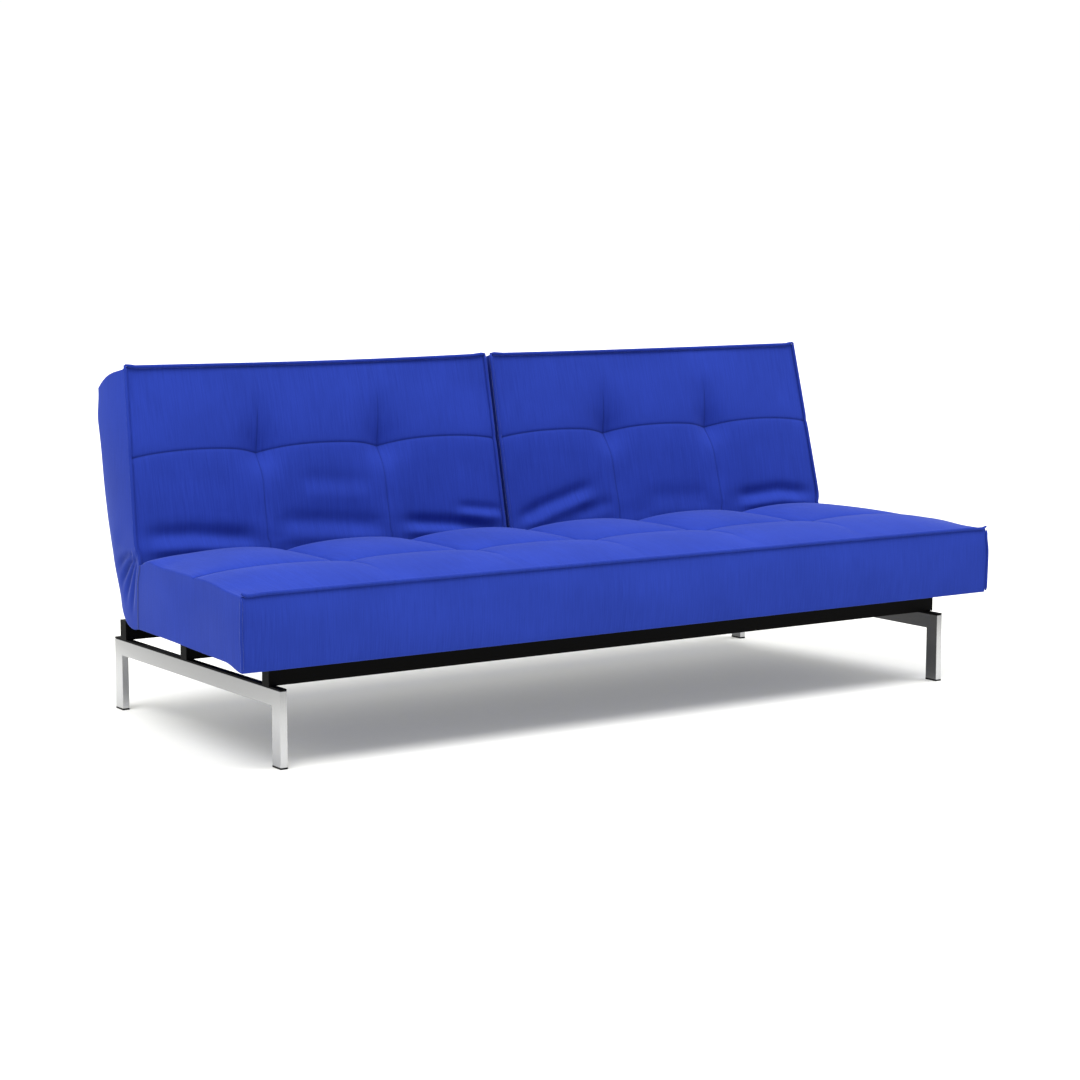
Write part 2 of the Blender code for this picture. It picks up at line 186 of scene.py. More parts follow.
def woven_cloth(name, colour):
    """Fine plain weave with slubs along the warp, with painted shade: darker where the seam
    attribute marks creases at seams, folds and edges.
    """
    mat, tree, bsdf = shader_nodes(name, colour, 0.9)
    bsdf.inputs["Sheen Weight"].default_value = 0.34
    bsdf.inputs["Sheen Roughness"].default_value = 0.27
    bsdf.inputs["Sheen Tint"].default_value = (0.52, 0.62, 1.0, 1)
    bsdf.inputs["Specular IOR Level"].default_value = 0.03
    coord = tree.nodes.new("ShaderNodeTexCoord")
    split = tree.nodes.new("ShaderNodeSeparateXYZ")
    tree.links.new(coord.outputs["Normal"], split.inputs["Vector"])
    side = maths(tree, "GREATER_THAN", maths(tree, "ABSOLUTE", split.outputs["X"], 0), 0.7)
    faces = noise_on(tree, 1.0, (420, 14, 14), 3.0, 0.6)
    ends = noise_on(tree, 1.0, (14, 420, 14), 3.0, 0.6)
    streak = tree.nodes.new("ShaderNodeMix")
    tree.links.new(side, streak.inputs["Factor"])
    tree.links.new(faces, streak.inputs["A"])
    tree.links.new(ends, streak.inputs["B"])
    slub = streak.outputs["Result"]
    cloudy = noise_on(tree, 5.0, (1, 1, 1), 3.0, 0.5)
    yarn = noise_on(tree, 900.0, (1, 1, 1), 1.0)
    tone = maths(tree, "ADD", maths(tree, "MULTIPLY", slub, 0.62),
                 maths(tree, "MULTIPLY", cloudy, 0.38))
    dark, light = [c * 0.88 for c in colour], [min(1.0, c * 1.13) for c in colour]
    # painted shade: where the seam attribute is set the cloth darkens towards a fifth of its
    # colour, standing in for the shade in creases
    seam = tree.nodes.new("ShaderNodeAttribute")
    seam.attribute_name = "seam"
    shade = tree.nodes.new("ShaderNodeMix")
    shade.data_type = "RGBA"
    tree.links.new(maths(tree, "MULTIPLY", seam.outputs["Fac"], 0.75), shade.inputs["Factor"])
    tree.links.new(ramp(tree, tone, [(0.36, dark), (0.5, colour), (0.64, light)]),
                   shade.inputs["A"])
    shade.inputs["B"].default_value = (*[c * 0.18 for c in colour], 1)
    tree.links.new(shade.outputs["Result"], bsdf.inputs["Base Color"])
    tree.links.new(maths(tree, "ADD", maths(tree, "MULTIPLY", slub, 0.12), 0.82),
                   bsdf.inputs["Roughness"])
    height = maths(tree, "ADD", slub, maths(tree, "MULTIPLY", yarn, 0.6))
    bump(tree, bsdf, height, 0.35, 0.0006)
    return mat


def brushed_metal(name, colour, rough, squeeze, dark=0.82):
    """Satin steel with fine brush lines and faint handling marks."""
    mat, tree, bsdf = shader_nodes(name, colour, rough, 1.0)
    lines = noise_on(tree, 1.0, squeeze, 4.0, 0.7)
    marks = noise_on(tree, 22.0, (1, 1, 1), 3.0)
    tone = maths(tree, "ADD", maths(tree, "MULTIPLY", lines, 0.7),
                 maths(tree, "MULTIPLY", marks, 0.3))
    tree.links.new(ramp(tree, tone, [(0.3, [c * dark for c in colour]), (0.7, colour)]),
                   bsdf.inputs["Base Color"])
    tree.links.new(maths(tree, "ADD", maths(tree, "MULTIPLY", tone, 0.04), rough - 0.02),
                   bsdf.inputs["Roughness"])
    bump(tree, bsdf, lines, 0.006, 0.0001)
    return mat


def leg_metal_painted_shade():
    """Brushed steel with painted shade: its colour darkens up the posts, below the seat, and on the
    faces turned inwards.
    """
    mat = brushed_metal("brushed_leg_painted_shade", (0.530, 0.532, 0.544), 0.25, (20, 5, 160), 0.97)
    tree = mat.node_tree
    bsdf = next(n for n in tree.nodes if n.type == "BSDF_PRINCIPLED")
    brushed = bsdf.inputs["Base Color"].links[0].from_socket
    coord = tree.nodes.new("ShaderNodeTexCoord")
    place, facing = (tree.nodes.new("ShaderNodeSeparateXYZ") for _ in range(2))
    tree.links.new(coord.outputs["Object"], place.inputs["Vector"])
    tree.links.new(coord.outputs["Normal"], facing.inputs["Vector"])
    # shares of the frame's height and of its half depth, from 0 to about 1
    height = maths(tree, "MULTIPLY", place.outputs["Z"], 1 / 0.17)
    along = maths(tree, "MULTIPLY", maths(tree, "ABSOLUTE", place.outputs["Y"], 0), 1 / 0.42)
    ends = maths(tree, "MULTIPLY", maths(tree, "MULTIPLY", along, along), 0.22)
    # painted shade: the steel's colour darkens up the posts towards the seat, and less so near the
    # bar's front and rear ends
    shade = ramp(tree, maths(tree, "SUBTRACT", height, ends),
                 [(0.0, (1, 1, 1)), (0.45, (0.86, 0.86, 0.86)), (0.72, (0.60, 0.60, 0.60)),
                  (1.0, (0.46, 0.46, 0.46))])
    # painted shade: faces turned towards the middle of the sofa darken to about a third of the
    # colour
    inward = maths(tree, "MULTIPLY", facing.outputs["X"], place.outputs["X"])
    side = ramp(tree, maths(tree, "ADD", inward, 1.0),
                [(0.2, (0.29, 0.29, 0.29)), (0.6, (1, 1, 1))])
    for factor in (shade, side):
        mix = tree.nodes.new("ShaderNodeMix")
        mix.data_type, mix.blend_type = "RGBA", "MULTIPLY"
        mix.inputs["Factor"].default_value = 1.0
        tree.links.new(brushed, mix.inputs["A"])
        tree.links.new(factor, mix.inputs["B"])
        brushed = mix.outputs["Result"]
    tree.links.new(brushed, bsdf.inputs["Base Color"])
    return mat


def grained(name, colour, rough, scale, strength, spread=0.25, squeeze=(1, 1, 1), metal=0.0):
    """Paint, rubber, plastic or wood: a fine grain in colour, roughness and height."""
    mat, tree, bsdf = shader_nodes(name, colour, rough, metal)
    grain = noise_on(tree, scale, squeeze, 3.0, 0.6)
    tree.links.new(ramp(tree, grain, [(0.3, [c * (1 - spread) for c in colour]),
                                      (0.7, [c * (1 + spread) for c in colour])]),
                   bsdf.inputs["Base Color"])
    tree.links.new(maths(tree, "ADD", maths(tree, "MULTIPLY", grain, 0.15), rough - 0.07),
                   bsdf.inputs["Roughness"])
    bump(tree, bsdf, grain, strength, 0.0004)
    return mat


BLUE = (0.0188, 0.0400, 0.292)
CLOTH = woven_cloth("cushion_cloth", BLUE)
# painted shade: the welt cords get the cushion cloth 10 % darker
WELT_SHADED = woven_cloth("welt_cloth_painted_shade", tuple(c * 0.9 for c in BLUE))
FINISHES = {
    "leg_frame": leg_metal_painted_shade(),
    "foot_glide": grained("glide_plastic", (0.012, 0.012, 0.013), 0.5, 700, 0.1),
    "bar_strip": grained("strip_rubber", (0.004, 0.004, 0.004), 0.6, 500, 0.1),
    "rail_cap": grained("cap_plastic", (0.003, 0.003, 0.003), 0.5, 800, 0.05),
    "rail": grained("rail_paint", (0.0018, 0.0017, 0.0016), 0.5, 1200, 0.05),
    "tube": grained("frame_paint", (0.02, 0.02, 0.021), 0.45, 1100, 0.12),
    "upright": grained("frame_paint_up", (0.02, 0.02, 0.021), 0.45, 1100, 0.12),
    "slat": grained("slat_beech", (0.50, 0.33, 0.17), 0.5, 6, 0.1, 0.25, (60, 3, 3)),
    "panel": woven_cloth("panel_cloth", tuple(c * 0.8 for c in BLUE)),
    "bracket": brushed_metal("plated_bracket", (0.55, 0.55, 0.53), 0.35, (40, 400, 40)),
    "arm": brushed_metal("plated_arm", (0.55, 0.55, 0.53), 0.35, (40, 40, 400)),
    "bolt": brushed_metal("plated_bolt", (0.62, 0.62, 0.60), 0.3, (300, 60, 60)),
    "disc": grained("disc_composite", (0.06, 0.052, 0.045), 0.8, 900, 0.3),
}


def dress_nodes():
    for node, obj in NODES.items():
        if "mattress" in node:
            continue
        key = next(k for k in FINISHES if k in node)
        for slot in obj.material_slots:
            slot.material = FINISHES[key]


# --- cushions -----------------------------------------------------------------------------------

class Pad:
    """A closed cushion as a box of cells whose surface points are placed by a function.

    Each axis is a rising list of values; place(a, b, c) gets three arrays of them and returns the
    points' x, y and z.
    """

    def __init__(self, name, axes, place, mirrored=False):
        self.name, self.axes = name, [np.asarray(a, float) for a in axes]
        sizes = [len(a) for a in self.axes]
        grid = np.indices(sizes).reshape(3, -1).T
        rim = (grid == 0) | (grid == np.array(sizes) - 1)
        self.cells = grid[rim.any(axis=1)]
        self.ids = -np.ones(sizes, int)
        self.ids[tuple(self.cells.T)] = np.arange(len(self.cells))
        self.values = [self.axes[k][self.cells[:, k]] for k in range(3)]
        self.start = np.stack(place(*self.values), axis=1)
        self.seam = np.zeros(len(self.start))
        self.faces = []
        for k in range(3):
            for end in (0, sizes[k] - 1):
                sheet = np.take(self.ids, end, axis=k)
                quads = np.stack([sheet[:-1, :-1], sheet[1:, :-1], sheet[1:, 1:], sheet[:-1, 1:]],
                                 axis=-1).reshape(-1, 4)
                flip = (end == 0) != (k == 1)
                self.faces.append(quads[:, ::-1] if flip != mirrored else quads)
        self.faces = np.concatenate(self.faces)

    def line(self, *index):
        """Vertex numbers along one grid line or over one sheet of the grid."""
        return [int(n) for n in self.ids[index].ravel() if n >= 0]

    def nearest(self, axis, value):
        return int(np.argmin(np.abs(self.axes[axis] - value)))

    def object(self):
        mesh = bpy.data.meshes.new(self.name)
        mesh.from_pydata(self.start.tolist(), [], self.faces.tolist())
        mesh.shade_smooth()
        obj = bpy.data.objects.new(self.name, mesh)
        bpy.context.scene.collection.objects.link(obj)
        return obj

    def swelling(self, held, pressure, cap):
        """How far each point moves when the cushion swells as cloth between its held points."""
        obj = self.object()
        move = inflate(obj, np.flatnonzero(held(*self.values)), pressure, cap)
        mesh = obj.data
        bpy.data.objects.remove(obj)
        bpy.data.meshes.remove(mesh)
        field = np.zeros(self.ids.shape + (3,))
        field[tuple(self.cells.T)] = move
        return field

    def sample(self, field, values):
        """A field on this pad's grid read at other places, by their a, b and c."""
        low, part = [], []
        for axis, value in zip(self.axes, values):
            k = np.clip(np.searchsorted(axis, value, side="right") - 1, 0, len(axis) - 2)
            low.append(k)
            part.append((value - axis[k]) / (axis[k + 1] - axis[k]))
        out = 0
        for corner in np.ndindex(2, 2, 2):
            weight = 1.0
            for bit, t in zip(corner, part):
                weight = weight * (t if bit else 1 - t)
            out = out + weight[:, None] * field[tuple(k + bit for k, bit in zip(low, corner))]
        return out

    def build(self, move, detail):
        """Makes the cushion with its swelling and sewn detail, and subdivides it once."""
        obj = self.object()
        self.points = detail(self.start + move)
        set_points(obj, self.points)
        # the seam attribute carries the painted shade of seams, folds and edges to the cloth
        mark = obj.data.attributes.new("seam", "FLOAT", "POINT")
        mark.data.foreach_set("value", np.clip(self.seam, 0, 1))
        obj.data.materials.append(CLOTH)
        mod = obj.modifiers.new("soften", "SUBSURF")
        mod.levels = mod.render_levels = 1
        return obj


def points_of(obj):
    flat = np.empty(len(obj.data.vertices) * 3)
    obj.data.vertices.foreach_get("co", flat)
    return flat.reshape(-1, 3)


def set_points(obj, points):
    obj.data.vertices.foreach_set("co", np.asarray(points, float).ravel())
    obj.data.update()


def inflate(obj, held, pressure, cap, frames=20):
    """Runs Cloth with pressure on the mesh and returns each point's move, no longer than cap."""
    before = points_of(obj)
    group = obj.vertex_groups.new(name="held")
    group.add(held.tolist(), 1.0, "REPLACE")
    mod = obj.modifiers.new("swell", "CLOTH")
    cloth = mod.settings
    cloth.quality = 5
    cloth.mass = 0.25
    cloth.use_pressure = True
    cloth.uniform_pressure_force = pressure
    cloth.tension_stiffness = cloth.compression_stiffness = 12
    cloth.shear_stiffness = 6
    cloth.bending_stiffness = 2.0
    cloth.vertex_group_mass = "held"
    cloth.effector_weights.gravity = 0.0
    mod.collision_settings.use_collision = False
    mod.point_cache.frame_start, mod.point_cache.frame_end = 1, frames
    scene = bpy.context.scene
    for f in range(1, frames + 1):
        scene.frame_set(f)
    done = obj.evaluated_get(bpy.context.evaluated_depsgraph_get())
    shape = done.to_mesh()
    flat = np.empty(len(shape.vertices) * 3)
    shape.vertices.foreach_get("co", flat)
    done.to_mesh_clear()
    scene.frame_set(1)
    move = flat.reshape(-1, 3) - before
    length = np.linalg.norm(move, axis=1, keepdims=True)
    return move * np.minimum(1.0, cap / np.maximum(length, 1e-9))


def gauss(d, width):
    """A round bump, 1 where d is 0."""
    return np.exp(-(d / width) ** 2)


def pillow(t, sharp):
    """A bulge, 0 where t is 0 or 1 and 1 halfway, the flatter there the higher sharp is."""
    return np.clip(1 - np.abs(2 * t - 1) ** sharp, 0, 1)


def span(start, stop, cells, near=(), far=()):
    """Stations from start to stop, close together next to a seam at either end."""
    lo = [start] + [start + d for d in near]
    hi = [stop - d for d in far][::-1] + [stop]
    return lo[:-1] + list(np.linspace(lo[-1], hi[0], cells + 1)) + hi[1:]


def joined(*spans):
    out = list(spans[0])
    for part in spans[1:]:
        out += list(part)[1:]
    return out


def fold(x, s, path, width, depth):
    """A wrinkle along a path of (x, s): a valley over a softer ridge, tapered at its ends."""
    out = np.zeros_like(x)
    path = np.asarray(path, float)
    lengths = np.hypot(*np.diff(path, axis=0).T)
    total, run = lengths.sum(), 0.0
    best = np.full_like(x, 1e9)
    for (x0, s0), (x1, s1), length in zip(path[:-1], path[1:], lengths):
        along_x, along_s = (x1 - x0) / length, (s1 - s0) / length
        t = np.clip((x - x0) * along_x + (s - s0) * along_s, 0, length)
        dx, ds = x - x0 - t * along_x, s - s0 - t * along_s
        off = ds * abs(along_x) - dx * along_s * np.sign(along_x)    # above the path, signed
        gap = np.hypot(dx, ds)
        taper = smooth(np.sin(np.pi * np.clip((run + t) / total, 0.04, 0.96)) * 1.5)
        # past the path's ends the true distance counts
        stretch = np.where(np.abs(off) > 1e-9, gap / np.maximum(np.abs(off), 1e-9), 1.0)
        off = off * np.clip(stretch, 1, 50)
        shape = (-gauss(off, width) + 0.85 * gauss(off + 1.9 * width, width)) * taper
        closer = gap < best
        out = np.where(closer, shape, out)
        best = np.where(closer, gap, best)
        run += length
    return out * depth


# seat ---------------------------------------------------------------------------------------------

def half_width(y):
    return lerp(HALF_FRONT, HALF_REAR, np.clip((y - FRONT_Y) / (FLAP_Y - FRONT_Y), 0, 1))


def seat_share(x, y):
    """Place across a column, 0 at one lengthwise seam and 1 at the next or at the side."""
    outer = (np.abs(x) - 2 * COLUMN) / (half_width(y) - 2 * COLUMN)
    return np.where(np.abs(x) > 2 * COLUMN, outer, (np.abs(x) / COLUMN) % 1.0)


def seat_top(x, y):
    """Height of the quilted top: valleys on the lengthwise seams, an arch in each column."""
    front = (y - FRONT_Y) / (SEAM_Y - FRONT_Y)
    rear = (y - SEAM_Y) / (CREASE_Y - SEAM_Y)
    low = np.where(y < SEAM_Y, 0.3855 + 0.0135 * smooth(front * 1.4),
                   0.3990 - 0.0030 * smooth(rear * 1.6) - 0.0125 * smooth((rear - 0.8) / 0.2))
    arch = pillow(seat_share(x, y), 2.2) ** 0.72
    rise = np.where(y < SEAM_Y, 0.0095 * smooth(front) ** 2,
                    0.0095 + 0.0150 * pillow(rear, 2.4) - 0.0095 * smooth((rear - 0.75) / 0.25))
    crown = np.where(y < SEAM_Y, 0.0120 * pillow(front, 2.0), 0)
    inset = half_width(y) - np.abs(x)
    edge = gauss(inset, 0.04) * smooth((y - FRONT_Y) / 0.1)
    crown = crown * (1 - gauss(inset, 0.10))
    rise = rise * arch * (1 - 0.4 * gauss(inset, 0.13))
    # the rear corners stand a little higher, the left one more
    corner = gauss(inset, 0.07) * smooth(y / 0.13) * np.where(x < 0, 0.0075, 0.002)
    return low + rise + crown - 0.0045 * edge + corner


def seat_cushion():
    # across, a runs from -1 to 1; the last three stations at each end make the flap
    by_seam = (0.0022, 0.006, 0.012)
    half = joined(span(0, COLUMN, 20, by_seam, by_seam),
                  span(COLUMN, 2 * COLUMN, 20, by_seam, by_seam),
                  span(2 * COLUMN, 2.9765 * COLUMN, 21, by_seam, (0.004,)))
    half += [2.9805 * COLUMN, 2.990 * COLUMN, 1.0]
    across = [-v for v in half[:0:-1]] + half
    rows = joined(span(0, SEAM_B, 18, (0.008, 0.02), (0.0026, 0.008, 0.018)),
                  span(SEAM_B, 1, 24, (0.0026, 0.008, 0.018), (0.01, 0.028)))
    tall = span(0, 1, 12, (0.03, 0.08), (0.03, 0.08))

    def place(a, b, c):
        front_edge = FRONT_Y + 0.003
        y_top = np.where(b < SEAM_B, lerp(front_edge, SEAM_Y, b / SEAM_B),
                         lerp(SEAM_Y, CREASE_Y, (b - SEAM_B) / 0.55))
        share = np.clip(np.abs(a) / COLUMN - 2, 0, 1)
        flap = share > 0.979
        # rear face: hugs the back's rounded lower end, or runs on as the side flap
        z_rear = lerp(0.2245, 0.386, c)
        reach = HOLLOW_R + 0.0090 * smooth((share - 0.80) / 0.08) * smooth((0.33 - z_rear) / 0.05)
        hug = PY - np.sqrt(np.maximum(reach ** 2 - (z_rear - PZ) ** 2, HOLLOW_END ** 2))
        rear_y = np.where(flap, FLAP_Y - 0.016 * smooth((c - 0.7) / 0.3), hug)
        rear_high = np.where(flap, FLAP_Y - 0.016, CREASE_Y)
        rear_low = np.where(flap, FLAP_Y, PY - HOLLOW_END)
        front_y = front_edge - 0.008 * np.sin(np.pi * c) ** 0.7
        y_low = lerp(front_edge, rear_low, b)
        y_high = np.where(flap, lerp(front_edge, rear_high, b), y_top)
        y = (lerp(front_y, rear_y, b) + lerp(y_low, y_high, c)
             - lerp(lerp(front_edge, rear_low, b), lerp(front_edge, rear_high, b), c))
        wide = half_width(y)
        x = np.where(np.abs(a) <= 2 * COLUMN, np.abs(a),
                     lerp(2 * COLUMN, wide - FLAP - SLACK, np.clip(share / 0.9765, 0, 1)))
        x = np.where(flap, wide - FLAP * np.clip((1 - share) / 0.0195, 0, 1), x)
        # the left side panel swells below its top edge and the right one stays flat
        toward_front = smooth((0.2 - y) / 0.5)
        bulge = np.where(a < 0, 0.0020, -0.0030) * np.sin(np.pi * np.clip((1 - c) * 1.05, 0, 1))
        under_edge = np.where(a < 0, 0.001, 0.004) * gauss(1 - c - 0.15, 0.13)
        x = x + np.where(share >= 1, (bulge - under_edge) * (0.45 + 0.55 * toward_front), 0)
        x = x * np.sign(a)
        low = (0.2225 + 0.0115 * smooth((np.abs(x) - 0.96) / 0.06)
               * smooth((y - FRONT_Y - 0.01) / 0.08))
        z = lerp(low, seat_top(x, y), c)
        z = np.where(flap, z - 0.007 * c * smooth((y - 0.10) / 0.07), z)
        return x, y, z

    def held(a, b, c):
        ring = (c <= 0) | (b >= 1) | (np.abs(a) >= 1) | (b <= 0)
        sewn = np.isclose(b, SEAM_B) | np.isclose(np.abs(a), 0)
        for k in (1, 2):
            sewn |= np.isclose(np.abs(a), k * COLUMN)
        return ring | ((c >= 1) & sewn)

    pad = Pad("seat_cushion", (across, rows, tall), place)
    move = np.zeros_like(pad.start)
    side = [k * COLUMN / 18 for k in range(37)] + [(2 + k / 16) * COLUMN for k in range(1, 16)]
    side += [1.0]
    even_rows = joined(span(0, SEAM_B, 14), span(SEAM_B, 1, 17))
    even = Pad("even", ([-v for v in side[:0:-1]] + side, even_rows, np.linspace(0, 1, 8)),
               place)
    move = even.sample(even.swelling(held, PRESSURE, MOST), pad.values) * SEAT_TAKES

    def detail(p):
        a, b, c = pad.values
        top = c >= 1
        x, y = p[:, 0].copy(), p[:, 1].copy()
        to_seam = np.minimum(np.abs(((np.abs(x) + COLUMN / 2) % COLUMN) - COLUMN / 2),
                             np.where(np.abs(x) > 2.5 * COLUMN, 1, 1e9))
        inner = (np.abs(x) < 2.5 * COLUMN) & top
        # lengthwise seams: V creases that die out towards the front edge
        crease = smooth((y - FRONT_Y - 0.08) / 0.16)
        p[:, 2] -= np.where(inner, crease * (0.0030 * gauss(to_seam, 0.010)
                                             + 0.0015 * gauss(to_seam, 0.003)), 0)
        # cross seam: a narrow stitched groove, with a shallow tuft at each crossing
        off = y - SEAM_Y
        groove = np.where(top, gauss(off, 0.0028), 0)
        p[:, 2] -= 0.0040 * groove + np.where(top, 0.0022 * gauss(off, 0.014), 0)
        tuft = np.where(inner, gauss(np.hypot(to_seam, off), 0.024), 0)
        p[:, 2] -= 0.0045 * tuft
        # painted shade for the cloth: dark in the cross seam's groove, along the lengthwise creases
        # and at the flap's rear edge
        lengthwise = np.where(inner, 0.3 * crease * gauss(to_seam, 0.0035), 0)
        flap_edge_shade = np.where((b >= 0.985) & (np.abs(a) > 0.99), 0.9, 0)
        pad.seam = np.maximum(np.maximum(0.95 * groove, lengthwise), flap_edge_shade)
        # slack across the front panel and the sides
        front = (b <= 0) & ~top
        p[:, 1] -= np.where(front, 0.0016 * np.sin(x * 9.0 + 4.0 * c) * np.sin(np.pi * c), 0)
        side = (np.abs(a) >= 1) & ~top
        ripple = np.sin(y * 16 + 3 * c) * np.sin(np.pi * c)
        p[:, 0] += np.where(side, np.sign(a) * 0.0018 * ripple, 0)
        # a dip behind each front top corner
        corner = np.hypot(np.abs(x) - 1.030, y - FRONT_Y - 0.012)
        p[:, 2] -= 0.0035 * np.where(top, gauss(corner, 0.014), 0)
        return p

    return pad, pad.build(move, detail)


# backs --------------------------------------------------------------------------------------------

def back_world(x, s, n):
    """A point of a back half from its place along the panel, s, and out of it, n."""
    return (x, PY + s * math.sin(LEAN) - n * math.cos(LEAN),
            PZ + s * math.cos(LEAN) + n * math.sin(LEAN))


def back_local(p):
    y, z = p[:, 1] - PY, p[:, 2] - PZ
    return (y * math.sin(LEAN) + z * math.cos(LEAN), z * math.sin(LEAN) - y * math.cos(LEAN))


# wrinkles where the seat pushes the lower back up: path of (x, s), width and depth, the depth
# to be multiplied by FOLD_DEPTH
FOLD_DEPTH = 1.45
FOLDS = {
    "left": (([(-1.0, 0.112), (-0.86, 0.109), (-0.68, 0.086)], 0.019, 0.0062),
             ([(-0.58, 0.219), (-0.37, 0.202)], 0.020, 0.0018),
             ([(-0.66, 0.126), (-0.50, 0.114), (-0.33, 0.095)], 0.021, 0.0042),
             ([(-0.32, 0.103), (-0.15, 0.085), (0.0, 0.052)], 0.015, 0.0072),
             ([(-0.15, 0.129), (0.0, 0.110)], 0.011, 0.0035)),
    "right": (([(0.02, 0.076), (0.11, 0.112), (0.28, 0.160)], 0.016, 0.0058),
              ([(0.20, 0.086), (0.33, 0.112)], 0.014, 0.0020),
              ([(0.42, 0.118), (0.65, 0.112)], 0.023, 0.0020),
              ([(0.71, 0.098), (0.875, 0.109), (1.0, 0.092)], 0.016, 0.0066)),
}
# how far the top edge sags between its corners
TOP_SAG = {"left": 0.0040, "right": 0.0015}


def back_cushion(side, word):
    # across, a runs from 0 at the middle of the sofa to 1 at its end, over three equal columns
    by_seam = tuple(d * 3 for d in (0.0018, 0.005, 0.011))
    by_side = (0.006, 0.02)
    columns = [span(0, 1, 22, by_side, by_seam), span(1, 2, 22, by_seam, by_seam),
               span(2, 3, 22, by_seam, by_side)]
    across = [v / 3 for v in joined(*columns)]
    deep = span(0, 1, 28, (0.02,), (0.02, 0.05))
    tall = joined(span(0, SEAM_C, 54, (), (0.003, 0.008, 0.018)),
                  span(SEAM_C, 1, 20, (0.003, 0.008, 0.018), (0.006, 0.016)))

    def seam_s(share):
        """The cross seam's place along the panel: it arches between the lengthwise seams."""
        return 0.2885 + 0.0135 * pillow(share, 2.0) ** 0.8

    def place(a, b, c):
        share = (a * 3) % 1.0
        share = np.where(a >= 1, 1.0, share)
        mid = seam_s(share)
        s_front = np.where(c < SEAM_C, lerp(LOW_S, mid, c / SEAM_C),
                           lerp(mid, BACK_TOP, (c - SEAM_C) / 0.38))
        # the face crowns as a whole; the seams and tufts are pulled into it afterwards
        crown = 0.0150 * pillow(np.clip((s_front - 0.025) / (BACK_TOP - 0.025), 0, 1), 3.4)
        n_front = BACK_FRONT - 0.001 + crown * pillow(a, 6.0) ** 0.8
        n_front = n_front + 0.0040 * gauss(s_front - 0.050, 0.026) * pillow(a, 10.0)
        # rear face: flat over the panel, fuller down the outer edge
        rise = np.clip(s_front - 0.08, 0, 1) / (BACK_TOP - 0.08)
        out = lerp(BACK_OUT_WIDE, BACK_OUT_TOP, rise)
        from_hinge = np.hypot(s_front, lerp(BACK_REAR, BACK_FRONT, b))
        out = lerp(BACK_OUT_LOW, out, smooth((from_hinge - 0.100) / lerp(0.10, 0.008, b)))
        x = side * lerp(BACK_IN, out, a)
        s_rear = lerp(0.0, REAR_TOP, c)
        fuller = smooth((np.abs(x) - 0.960) / 0.022)
        n_rear = -(BACK_REAR + 0.0135 * smooth((s_rear - 0.19) / 0.14)
                   - 0.024 * smooth((s_rear - 0.40) / 0.08))
        n_side = -(0.106 + 0.0195 * smooth(s_rear / 0.10) - 0.016 * smooth((s_rear - 0.22) / 0.16)
                   - 0.016 * smooth((s_rear - 0.40) / 0.07))
        n_rear = lerp(n_rear, n_side, fuller)
        # top: slopes down to the rear, rounder at the outer end; lower end: an arc round the hinge
        hump = lerp(0.0045, 0.0115, fuller) * np.sin(np.pi * b ** 0.8) ** 1.2
        s_top = lerp(REAR_TOP, BACK_TOP, b) + hump
        n_top = lerp(n_rear, n_front, b)
        turn = lerp(-math.pi, math.atan2(LOW_S, BACK_FRONT), b)
        radius = LOW_R + 0.010 * fuller * smooth(1 - b * 2)
        n_low, s_low = radius * np.cos(turn), radius * np.sin(turn)
        s = (lerp(s_rear, s_front, b) + lerp(s_low, s_top, c)
             - lerp(lerp(0.0, LOW_S, b), lerp(REAR_TOP, BACK_TOP, b), c))
        n_corner = lerp(lerp(-radius, BACK_FRONT, b), lerp(n_rear, n_front, b), c)
        n = lerp(n_rear, n_front, b) + lerp(n_low, n_top, c) - n_corner
        # the top edge sags a little between its corners, and lifts next to the inner one
        high = smooth((s - 0.33) / 0.17)
        s = s - high * TOP_SAG[word] * np.sin(np.pi * (1 - a) ** 1.2)
        s = s + high * 0.0030 * gauss(a * BACK_WIDE - 0.008, 0.016)
        # side panels swell between front and rear, except beside the seat's flaps
        clear = smooth((np.hypot(s, n) - 0.105) / 0.05)
        end = np.where(a >= 1, 0.0030, np.where(a <= 0, -0.0018, 0.0))
        x = x + side * end * np.sin(np.pi * np.clip(b, 0, 1)) * clear
        # the outer side closes in towards the rear, more so lower down
        taper = smooth((0.47 - s) / 0.34) * (1 - b) ** 1.4
        x = x - side * 0.024 * taper * smooth((a - 0.93) / 0.07)
        return back_world(x, s, n)

    pad = Pad("back_cushion_" + word, (across, deep, tall), place, side < 0)

    def held(a, b, c):
        ring = (a <= 0) | (a >= 1) | (c >= 1) | (b <= 0) | (c < 0.13)
        sewn = np.isclose(c, SEAM_C) | np.isclose(a, 1 / 3) | np.isclose(a, 2 / 3)
        return ring | ((b >= 1) & sewn)

    move = np.zeros_like(pad.start)
    even = Pad("even", (np.linspace(0, 1, 55), np.linspace(0, 1, 9),
                        joined(span(0, SEAM_C, 22), span(SEAM_C, 1, 13))), place, side < 0)
    move = even.sample(even.swelling(held, PRESSURE, MOST), pad.values) * BACK_TAKES

    def detail(p):
        a, b, c = pad.values
        s, n = back_local(p)
        x = p[:, 0].copy()
        front = b >= 1
        share = np.where(a >= 1, 1.0, (a * 3) % 1.0)
        column = np.minimum(np.abs(a - 1 / 3), np.abs(a - 2 / 3)) * BACK_WIDE
        off = s - seam_s(share)
        fade = 1 - 0.8 * smooth((s - 0.36) / 0.08)
        upright = gauss(column, 0.0022) * fade
        across_seam = gauss(off, 0.0021)
        upper = smooth((s - 0.09) / 0.08) * fade
        valley = (0.0045 * gauss(column, 0.040) + 0.0012 * gauss(column, 0.011)) * upper
        crosswise = (0.0018 * across_seam + 0.0012 * gauss(off, 0.010)
                     + 0.0034 * gauss(off, 0.034) * pillow(a, 6.0))
        n = n - np.where(front, valley + 0.0013 * upright + crosswise, 0)
